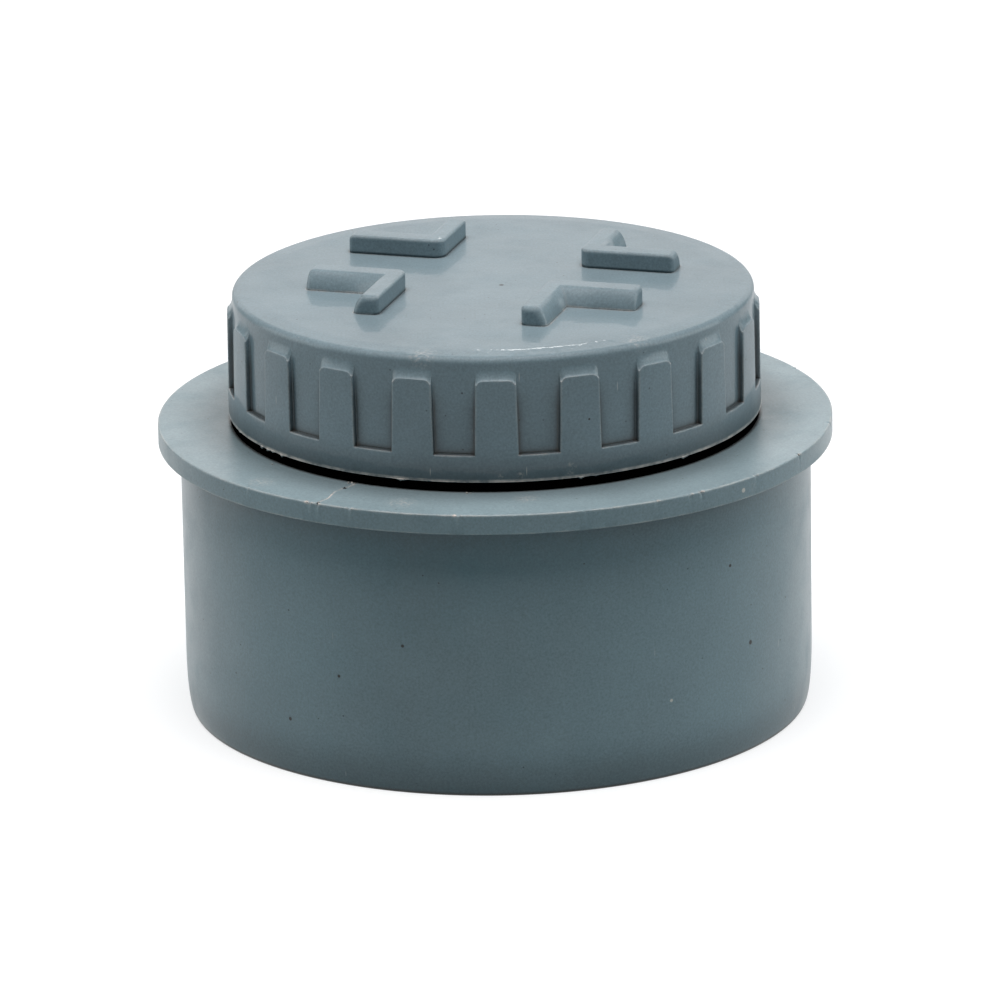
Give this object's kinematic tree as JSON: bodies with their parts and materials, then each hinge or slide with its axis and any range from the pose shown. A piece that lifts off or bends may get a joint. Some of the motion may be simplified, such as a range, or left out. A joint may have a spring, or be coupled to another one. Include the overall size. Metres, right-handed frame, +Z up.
{
  "type": "screwed access plug",
  "caption": "Push-in end plug for a drain pipe: plain spigot with a stop flange, and a screw cap with grip pads and L-shaped lugs over a sealing ring.",
  "frame": {"origin": "centre of the spigot's open end, which is the bottom of the part", "axes": "+Z up along the spigot's axis towards the cap's top, +X right and +Y back as the part stands in front of the viewer"},
  "size_m": [0.1176, 0.1176, 0.0785],
  "materials": {
    "grey_pvc": "semi-gloss moulded PVC-U, lightly scuffed",
    "black_rubber": "matt"
  },
  "bodies": {
    "plug": {"spigot_body": "grey_pvc"},
    "ring": {"sealing_ring": "black_rubber"},
    "cap": {"screw_cap": "grey_pvc"}
  },
  "joints": [
    {"name": "cap_turn", "type": "hinge", "parent": "plug", "child": "ring", "pos_m": [0, 0, 0], "axis": [0, 0, 1], "range_deg": [0, 828]},
    {"name": "cap_rise", "type": "slide", "parent": "ring", "child": "cap", "axis": [0, 0, 1], "range_m": [0, 0.0115]}
  ],
  "couplings": [
    {"joint": "cap_rise", "follows": "cap_turn", "m_per_rad": 0.00079577}
  ]
}
